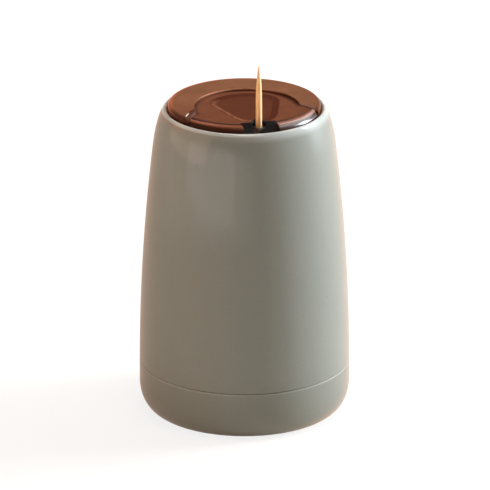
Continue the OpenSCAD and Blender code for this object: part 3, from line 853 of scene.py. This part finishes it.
# Steel drawn along its length, and wood whose fibres run up the pick
DRAWN_SIZE = 0.4 * MM
DRAWN_STRETCH = (1, 1, 0.08)
DRAWN_RELIEF = 0.003 * MM
STEEL_TONES = (0.52, 0.52, 0.53), (0.66, 0.66, 0.67)
STEEL_ROUGHNESS = (0.2, 0.15)
FIBRE_SIZE = 0.22 * MM
FIBRE_STRETCH = (1, 1, 0.03)
FIBRE_RISE = (0.3, 0.75)
FIBRE_RELIEF = 0.02 * MM
FIBRE_TONES = linear(244, 198, 146), linear(214, 154, 92)
STREAK_WIDTH = 0.8 * MM
STREAK_LENGTHEN = (1, 1, 0.05)
STREAK_START = (0.5, 0.8)
STREAK_PAINT = 0.5, linear(196, 130, 74)
WOOD_ROUGHNESS = (0.45, 0.2)


def steel_finish():
    finish = Finish("bright_steel", (0.6, 0.6, 0.61), 0.28, Metallic=1.0)
    drawn = finish.noise(DRAWN_SIZE, 3, stretch=DRAWN_STRETCH)
    least, spread = STEEL_ROUGHNESS
    finish.feed(Roughness=drawn * spread + least, Base_Color=finish.mix(drawn, *STEEL_TONES))
    return finish.bump(drawn, DRAWN_RELIEF).material


def wood_finish():
    """Pale bare wood with fine fibres and a few darker streaks."""
    finish = Finish("pick_wood", linear(228, 174, 116), 0.55, Specular_IOR_Level=0.3)
    fibre = finish.noise(FIBRE_SIZE, 4, 0.6, stretch=FIBRE_STRETCH)
    streak = finish.noise(STREAK_WIDTH, 2, 0.5, stretch=STREAK_LENGTHEN)
    tone = finish.mix(fibre.band(*FIBRE_RISE), *FIBRE_TONES)
    tone = finish.paint(tone, streak.band(*STREAK_START), STREAK_PAINT)
    least, spread = WOOD_ROUGHNESS
    finish.feed(Base_Color=tone, Roughness=fibre * spread + least)
    return finish.bump(fibre, FIBRE_RELIEF, 0.6).material


SAGE = sage_finish()
RING_BROWN = brown_finish("smoked_brown_ring", linear(111, 72, 50), paint_ring)
COVER_BROWN = brown_finish("smoked_brown_cover", linear(99, 58, 39), paint_cover)
CHAMBER = plain_finish("chamber_brown", linear(92, 54, 38), 0.3, 0.08, 0.8 * MM, 0.006 * MM)
BLACK = plain_finish("polished_black", linear(24, 20, 18), 0.16, 0.1, 0.7 * MM, 0.004 * MM,
                     Specular_IOR_Level=0.35)
RUBBER = plain_finish("dark_rubber", linear(34, 33, 32), 0.8, 0.15, 0.3 * MM, 0.02 * MM)
IVORY = plain_finish("moulded_ivory", linear(222, 218, 206), 0.42, 0.03, 0.6 * MM, 0.008 * MM)
STEEL = steel_finish()
WOOD = wood_finish()


# Casing

def make_shell():
    """The pull-off shell: long arc, elliptic shoulder, round lip, straight neck, inner wall."""
    shoulder_z = CASE_TOP - SHOULDER_H
    crest_r = side_r(CASE_TOP) - SHOULDER_IN
    neck_r = crest_r - LIP_ROUND
    neck_z = CASE_TOP - LIP_ROUND - NECK_H
    wall_top = neck_z - SHELL_T / 2
    outline = [(case_r(SEAM_Z) - SEAM_CHAMFER, SEAM_Z)]
    outline += [(case_r(z), z) for z in steps(SEAM_Z + SEAM_CHAMFER, shoulder_z, SIDE_STEPS)]
    for angle in steps(0, 90, SHOULDER_STEPS)[1:]:
        a = math.radians(angle)
        z = shoulder_z + SHOULDER_H * math.sin(a)
        outline.append((side_r(z) - SHOULDER_IN * (1 - math.cos(a)), z))
    outline += round_points((crest_r, CASE_TOP - LIP_ROUND), LIP_ROUND, LIP_START_A, 180,
                            ROUND_STEPS)
    outline.append((neck_r, neck_z))
    for z in steps(wall_top, shoulder_z, ROUND_STEPS):
        share = (z - shoulder_z) / SHOULDER_H
        cut = SHOULDER_IN * (1 - math.sqrt(max(0, 1 - share ** 2)))
        outline.append((max(neck_r, side_r(z) - cut - SHELL_T), z))
    outline += [(case_r(z) - SHELL_T, z) for z in steps(shoulder_z, SEAM_Z, INNER_STEPS)[1:]]
    shell = turned("casing_shell", outline)
    return placed(smooth(shell, CASE_SHARP_A), "shell", "casing", SAGE, "outer_shell")


def base_bowl(floor_top):
    """The base cup: slot for the foot ring, round side, spigot with the seal's groove, bowl."""
    slot_low, slot_high = FOOT_HIGH.x - FOOT_RING_W - SEAT_GAP, FOOT_HIGH.x + SEAT_GAP
    spigot_r = case_r(BASE_HIGH.z) - SHELL_T - SPIGOT_GAP
    seal_mid = (SEAL_LOW.z + SEAL_HIGH.z) / 2
    seal_half = (SEAL_HIGH.z - SEAL_LOW.z) / 2 + SEAT_GAP
    groove_r = SEAL_HIGH.x - 2 * seal_half
    shelf_z = SEAM_Z - SHELF_T
    round_z = SEAM_Z - SEAM_ROUND
    outline = [(FLAT_R, BASE_LOW.z), (slot_low, BASE_LOW.z), (slot_low, FOOT_HIGH.z),
               (slot_high, FOOT_HIGH.z), (slot_high, BASE_LOW.z)]
    for share in steps(0, 1, FOOT_STEPS):
        z = BASE_LOW.z + (FOOT_ROUND_H - BASE_LOW.z) * share ** 2
        outline.append((case_r(z), z))
    outline += [(case_r(z), z) for z in steps(FOOT_ROUND_H, round_z, BASE_SIDE_STEPS)[1:-1]]
    outline += round_points((case_r(SEAM_Z) - SEAM_ROUND, round_z), SEAM_ROUND, 0, 90, SEAM_STEPS)
    outline += [(spigot_r, SEAM_Z),
                (spigot_r, seal_mid - seal_half), (groove_r, seal_mid - seal_half),
                (groove_r, seal_mid + seal_half), (spigot_r, seal_mid + seal_half),
                (spigot_r, BASE_HIGH.z - SPIGOT_CHAMFER), (spigot_r - SPIGOT_CHAMFER, BASE_HIGH.z),
                (spigot_r - SPIGOT_T, BASE_HIGH.z), (spigot_r - SPIGOT_T, shelf_z)]
    outline += [(case_r(z) - BASE_T, z) for z in steps(shelf_z, floor_top, BOWL_STEPS)]
    outline.append((FLAT_R, floor_top))
    return turned("casing_base", outline, closed=False)


def make_base():
    """The base cup with its screw posts and the pin's boss."""
    floor_top = BASE_LOW.z + FLOOR_T
    base = base_bowl(floor_top)
    post_ring_r = SLEEVE_R + POST_GAP + POST_R
    for i in range(POSTS):
        a = math.pi / 2 + i * TURN / POSTS
        centre = (post_ring_r * math.cos(a), BARREL_Y + post_ring_r * math.sin(a))
        add_to(base, turned("post", [
            (POST_R + POST_FOOT_W, floor_top - ROOT), (POST_R + POST_FOOT_W, floor_top),
            (POST_R, floor_top + POST_FOOT_H), (POST_R, floor_top + POST_H),
        ], closed=False, segments=POST_SEGMENTS, centre=centre))
        carve(base, cylinder("bore", POST_BORE_R, floor_top + POST_BORE_FLOOR,
                             floor_top + POST_H + CUT, centre, BORE_SEGMENTS))
    boss_top = floor_top + PIN_BOSS_H
    add_to(base, turned("boss", [
        (PIN_BOSS_R, floor_top - ROOT), (PIN_BOSS_R, boss_top - PIN_BOSS_CHAMFER),
        (PIN_BOSS_R - PIN_BOSS_CHAMFER, boss_top),
    ], closed=False, segments=POST_SEGMENTS, centre=(0, PICK_Y)))
    carve(base, cylinder("pin_bore", PIN_R, PIN_LOW.z, boss_top + CUT, (0, PICK_Y),
                         BORE_SEGMENTS))
    return placed(smooth(weld(base), CASE_SHARP_A), "base_unit", "casing", SAGE, "base_cup")


make_shell()
make_base()


# Lid

def meet(a1, d1, a2, d2):
    """Meeting point of two lines, each given by its normal's angle and its distance."""
    det = math.sin(a2 - a1)
    return ((d1 * math.sin(a2) - d2 * math.sin(a1)) / det,
            (d2 * math.cos(a1) - d1 * math.cos(a2)) / det)


def fan_half(radius, side_d, corner_r=0.0):
    """Right half of a fan: its round back, a rounded corner and down to the straight side."""
    reach_r, side = radius - corner_r, side_d - corner_r
    turn = math.acos((side + FAN_Y * math.sin(FAN_SIDE_A)) / reach_r) - FAN_SIDE_A
    half = round_points((0, FAN_Y), radius, 90, math.degrees(turn), FAN_BACK_STEPS)
    if corner_r:
        middle = (reach_r * math.cos(turn), FAN_Y + reach_r * math.sin(turn))
        half += round_points(middle, corner_r, math.degrees(turn), -math.degrees(FAN_SIDE_A),
                             FAN_CORNER_STEPS)[1:]
    return half


def both_halves(half):
    return half + [(-x, y) for x, y in reversed(half) if x > WELD]


def fan_outline():
    """Plan of the fan-shaped chamber: round back, straight sides, funnel and narrow end."""
    half = fan_half(FAN_R, FAN_SIDE_D)
    half.append(meet(-FAN_SIDE_A, FAN_SIDE_D, -FAN_FUNNEL_A, FAN_FUNNEL_D))
    half += round_points((0, PICK_Y), CHANNEL_R, -math.degrees(FAN_FUNNEL_A), -90,
                         FAN_END_STEPS)
    return both_halves(half)


def window_outline(grow=0.0):
    """Plan of the window over the chamber, which runs straight to the nozzle."""
    side_d = WINDOW_SIDE_D + grow
    half = fan_half(WINDOW_R + grow, side_d, WINDOW_CORNER + grow / 2)
    end_y = NOZZLE_BACK_Y - CUT
    half.append(((side_d + end_y * math.sin(FAN_SIDE_A)) / math.cos(FAN_SIDE_A), end_y))
    return [(x + WINDOW_X, y) for x, y in both_halves(half)]


def make_ring():
    """The C-shaped ring with its plate and skirt."""
    outline = [(LID_R, PLATE_Z)] + round_points((LID_R - RING_ROUND, RING_TOP - RING_ROUND),
                                                RING_ROUND, 0, 90, ROUND_STEPS)
    ring = turned("lid_ring", outline, closed=False)
    carve(ring,
          cylinder("dish", DISH_R, COVER_Z, RING_TOP + CUT, (0, DISH_Y)),
          cylinder("mouth", MOUTH_R, COVER_Z, RING_TOP + CUT, (0, MOUTH_Y)),
          cylinder("ramp", MOUTH_R, DISH_Z, RING_TOP + CUT, (0, MOUTH_Y),
                   top_radius=MOUTH_R + RAMP_W * (1 + CUT / DISH_DEPTH)))
    skirt = turned("skirt", [(LID_R, RING_LOW.z), (LID_R, PLATE_Z + CUT),
                             (LID_R - SKIRT_T, PLATE_Z + CUT), (LID_R - SKIRT_T, RING_LOW.z)])
    add_to(ring, skirt)
    carve(ring, slab("fan_hole", fan_outline(), PLATE_Z - CUT, COVER_Z + CUT),
          cylinder("spout_hole", COLLAR_R + COLLAR_GAP, PLATE_Z - CUT, COVER_Z + CUT,
                   (0, PICK_Y), COLLAR_SEGMENTS))
    return placed(soften(ring, RING_EDGE), "plunger", "brown_lid", RING_BROWN, "ring_cap")


def make_cover():
    """The cover: round dish, crested front band, sloped window and the nozzle's seat."""
    low, high = COVER_Z - CUT, CREST_Z + CUT
    outline = [(LID_R, COVER_Z)]
    for angle in steps(0, 90, BAND_FALL_STEPS):
        a = math.radians(angle)
        outline.append((LID_R - BAND_FALL_W * (1 - math.cos(a)),
                        CREST_Z - BAND_FALL_H * (1 - math.sin(a))))
    cover = turned("lid_cover", outline, closed=False)
    plan = cylinder("dish_plan", DISH_R - COVER_GAP, low, high, (0, DISH_Y))
    add_to(plan, cylinder("mouth_plan", MOUTH_R - COVER_GAP, low, high, (0, MOUTH_Y)))
    carve(cover, plan, operation="INTERSECT")
    carve(cover,
          cylinder("dish", BAND_R - BAND_FOOT_IN, DISH_Z, high, (0, BAND_Y), BAND_SEGMENTS,
                   top_radius=BAND_R + BAND_TOP_OUT),
          slab("window", window_outline(-WINDOW_SLOPE_W), DISH_Z - WINDOW_H, DISH_Z + CUT,
               window_outline(WINDOW_SLOPE_W * CUT / WINDOW_H)))
    half_w = NOZZLE_HALF_W + SEAT_GAP
    carve(cover,
          block("slot", (-half_w, -LID_R - CUT, low), (half_w, NOZZLE_BACK_Y + SEAT_GAP, high)),
          cylinder("collar", COLLAR_R + SEAT_GAP, low, high, (0, PICK_Y), COLLAR_SEGMENTS),
          block("rebate", (-half_w - FLANGE_W, PICK_Y - MOUTH_HOLE_R - SEAT_GAP, low),
                (half_w + FLANGE_W, NOZZLE_BACK_Y + FLANGE_W + SEAT_GAP,
                 COVER_Z + FLANGE_T + SEAT_GAP)))
    return placed(soften(cover, COVER_EDGE, COVER_SHARP_A), "cover", "brown_lid", COVER_BROWN,
                  "fill_cover")


def make_nozzle():
    """The nozzle: tilted block and collar, wide mouth, flange and spout."""
    spare_top = NOZZLE_HIGH.z + NOZZLE_SPARE
    nozzle = block("lid_nozzle", (-NOZZLE_HALF_W, NOZZLE_FRONT_Y, COVER_Z),
                   (NOZZLE_HALF_W, NOZZLE_BACK_Y, spare_top))
    add_to(nozzle, cylinder("collar", COLLAR_R, NOZZLE_LOW.z, spare_top, (0, PICK_Y),
                            NOZZLE_SEGMENTS))
    pick(nozzle)
    edit()
    bpy.ops.mesh.select_all(action="SELECT")
    bpy.ops.mesh.bisect(plane_co=(0, PICK_Y, NOZZLE_MID_Z),
                        plane_no=(0, -math.sin(NOZZLE_TILT), math.cos(NOZZLE_TILT)),
                        use_fill=True, clear_outer=True)
    leave()
    half_w = NOZZLE_HALF_W + FLANGE_W
    add_to(nozzle, block("flange", (-half_w, PICK_Y - MOUTH_HOLE_R, COVER_Z),
                         (half_w, NOZZLE_BACK_Y + FLANGE_W, COVER_Z + FLANGE_T)))
    carve(nozzle,
          cylinder("mouth", MOUTH_HOLE_R, GRIP_LOW.z, spare_top + NOZZLE_SPARE, (0, PICK_Y),
                   NOZZLE_SEGMENTS),
          cylinder("bore", CHANNEL_R + SEAT_GAP, NOZZLE_LOW.z - CUT, GRIP_LOW.z + CUT,
                   (0, PICK_Y), BORE_SEGMENTS))
    return placed(soften(nozzle, NOZZLE_EDGE), "cover", "black_nozzle", BLACK, "pick_nozzle")


make_ring()
make_cover()
make_nozzle()


# Toothpick and spring

def make_pick():
    """A turned wooden pick with a point at each end, the upper one worn a little shorter."""
    swell = PICK_R - PICK_TIP_R
    rise = [(PICK_TIP_R + swell * math.sin(math.pi / 2 * t) ** PICK_SWELL, PICK_TAPER * t)
            for t in steps(0, 1, PICK_TAPER_STEPS)]
    side = steps(PICK_LOW.z + PICK_TAPER, PICK_HIGH.z - PICK_TAPER, PICK_SIDE_STEPS)[1:-1]
    outline = [(PICK_POINT_R, PICK_LOW.z)]
    outline += [(r, PICK_LOW.z + h + PICK_POINT_H) for r, h in rise]
    outline += [(PICK_R, z) for z in side]
    outline += [(r, PICK_HIGH.z - h - PICK_POINT_H) for r, h in reversed(rise)]
    outline = [(r, min(z, PICK_HIGH.z - TIP_WEAR)) for r, z in outline]
    toothpick = turned("wooden_toothpick", outline, closed=False, segments=PICK_SEGMENTS,
                       centre=(0, PICK_Y))
    return placed(smooth(toothpick, THIN_SHARP_A), "pick", "pick_wood", WOOD, "toothpick")


def make_spring():
    """Round wire on a helix, with a closed turn at each end."""
    radius = SPRING_HIGH.x - WIRE_R
    low, high = SPRING_LOW.z + WIRE_R, SPRING_HIGH.z - WIRE_R
    pitch = (high - low - 2 * END_PITCH) / (SPRING_TURNS - 2)
    bpy.ops.object.select_all(action="DESELECT")
    bpy.ops.curve.primitive_nurbs_path_add()
    coil = started("coil_spring")
    curve = coil.data
    curve.splines.clear()
    spline = curve.splines.new("POLY")
    spline.points.add(SPRING_TURNS * SPRING_STEPS)
    for i, point in enumerate(spline.points):
        turn = i / SPRING_STEPS
        z = (low + END_PITCH * min(turn, 1) + pitch * max(0, min(turn - 1, SPRING_TURNS - 2))
             + END_PITCH * max(0, turn - SPRING_TURNS + 1))
        point.co = (radius * math.cos(TURN * turn), BARREL_Y + radius * math.sin(TURN * turn),
                    z, 1)
    curve.dimensions = "3D"
    curve.bevel_depth = WIRE_R
    curve.bevel_resolution = WIRE_ROUNDNESS
    curve.use_fill_caps = True
    pick(coil)
    bpy.ops.object.convert(target="MESH")
    coil = started("coil_spring")
    placed(smooth(settle(coil), THIN_SHARP_A), "base_unit", "steel", STEEL, "return_spring")
    travel = next(j for j in frame["joints"] if j["name"] == "press")["range_m"][0]
    length = SPRING_HIGH.z - SPRING_LOW.z
    1 + travel / length
    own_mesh(coil)
    return coil


make_pick()
make_spring()

NODE_FINISH = {
    "foot_ring": RUBBER, "base_seal": RUBBER, "bumper_ring": RUBBER, "pick_grip": RUBBER,
    "guide_sleeve": IVORY, "magazine": CHAMBER, "magazine_floor": CHAMBER,
    "guide_screws": STEEL, "spring_seat": STEEL, "pusher_pin": STEEL, "floor_screws": STEEL,
    "cap_screws": STEEL,
}
for node, finish in NODE_FINISH.items():
    mesh = frame["nodes"][node].data
    mesh.materials.clear()
    mesh.materials.append(finish)


# Floor, light and camera

def floor_finish():
    """White for the camera, in gloss and through glass, with the object's shadow kept."""
    finish = Finish("studio_white", FLOOR_COLOUR, 0.9, Specular_IOR_Level=0.0)
    nodes, links = finish.tree.nodes, finish.tree.links
    rays = nodes.new("ShaderNodeLightPath")
    seen = Value(finish, rays.outputs["Is Camera Ray"]) \
        .math("MAXIMUM", Value(finish, rays.outputs["Is Glossy Ray"])) \
        .math("MAXIMUM", Value(finish, rays.outputs["Is Transmission Ray"]))
    glow = nodes.new("ShaderNodeEmission")
    glow.inputs["Color"].default_value = (1, 1, 1, 1)
    mixed = nodes.new("ShaderNodeMixShader")
    links.new((seen * FLOOR_GLOW).socket, mixed.inputs[0])
    links.new(finish.shader.outputs[0], mixed.inputs[1])
    links.new(glow.outputs[0], mixed.inputs[2])
    links.new(mixed.outputs[0], nodes["Material Output"].inputs["Surface"])
    return finish.material


def make_floor():
    bpy.ops.object.select_all(action="DESELECT")
    bpy.ops.mesh.primitive_plane_add(size=FLOOR_SIZE, location=(0, 0, 0))
    floor = started("studio_floor")
    floor.data.materials.append(floor_finish())


def lamp(name, azimuth, elevation, distance, size, power, colour):
    """A soft rectangular lamp that looks at the object's middle."""
    a, e = math.radians(azimuth), math.radians(elevation)
    bpy.ops.object.select_all(action="DESELECT")
    bpy.ops.object.light_add(type="AREA", location=(
        distance * math.cos(e) * math.sin(a), -distance * math.cos(e) * math.cos(a),
        distance * math.sin(e) + LAMP_AIM.z))
    light = bpy.context.object
    light.name = name
    light.data.shape = "RECTANGLE"
    light.data.size, light.data.size_y = size
    light.data.energy = power
    light.data.color = colour
    aim = LAMP_AIM - light.location
    light.rotation_euler = aim.to_track_quat("-Z", "Y").to_euler()
    return light


def world_light():
    """A dim room. Gloss and glass see the white sweep up to its top edge, the camera all white."""
    world = bpy.data.worlds.new("studio")
    bpy.context.scene.world = world
    world.use_nodes = True
    nodes, links = world.node_tree.nodes, world.node_tree.links

    def light(colour, strength):
        shader = nodes.new("ShaderNodeBackground")
        shader.inputs["Color"].default_value = (*colour, 1)
        shader.inputs["Strength"].default_value = strength
        return shader.outputs[0]

    def blend(factor, a, b):
        node = nodes.new("ShaderNodeMixShader")
        for socket, source in zip(node.inputs, (factor, a, b)):
            links.new(source, socket)
        return node.outputs[0]

    rays = nodes.new("ShaderNodeLightPath").outputs
    place = nodes.new("ShaderNodeTexCoord")
    parts = nodes.new("ShaderNodeSeparateXYZ")
    links.new(place.outputs["Generated"], parts.inputs[0])
    above = nodes.new("ShaderNodeMapRange")
    above.interpolation_type = "SMOOTHSTEP"
    above.inputs["From Min"].default_value = SWEEP_TOP_SINE - SWEEP_BLEND
    above.inputs["From Max"].default_value = SWEEP_TOP_SINE + SWEEP_BLEND
    links.new(parts.outputs["Z"], above.inputs["Value"])
    gloss = nodes.new("ShaderNodeMath")
    gloss.operation = "MAXIMUM"
    links.new(rays["Is Glossy Ray"], gloss.inputs[0])
    links.new(rays["Is Transmission Ray"], gloss.inputs[1])
    white = light((1, 1, 1), 1)
    sweep = blend(above.outputs[0], white, light(ROOM_COLOUR, CEILING_LEVEL))
    seen = blend(gloss.outputs[0], light(ROOM_COLOUR, ROOM_LEVEL), sweep)
    links.new(blend(rays["Is Camera Ray"], seen, white), nodes["World Output"].inputs["Surface"])


def make_camera():
    direction = Vector((math.sin(VIEW_AZIMUTH) * math.cos(VIEW_ELEVATION),
                        -math.cos(VIEW_AZIMUTH) * math.cos(VIEW_ELEVATION),
                        math.sin(VIEW_ELEVATION)))
    bpy.ops.object.select_all(action="DESELECT")
    bpy.ops.object.camera_add(location=VIEW_AIM + direction * VIEW_DISTANCE)
    camera = bpy.context.object
    camera.name = "photo_camera"
    camera.rotation_euler = (-direction).to_track_quat("-Z", "Y").to_euler()
    camera.data.lens = VIEW_LENS
    camera.data.sensor_width = VIEW_SENSOR
    camera.data.clip_end = VIEW_END
    bpy.context.scene.camera = camera


make_floor()
for name, settings in LAMPS.items():
    lamp(name, *settings)
world_light()
make_camera()
bpy.context.scene.view_settings.view_transform = "Standard"
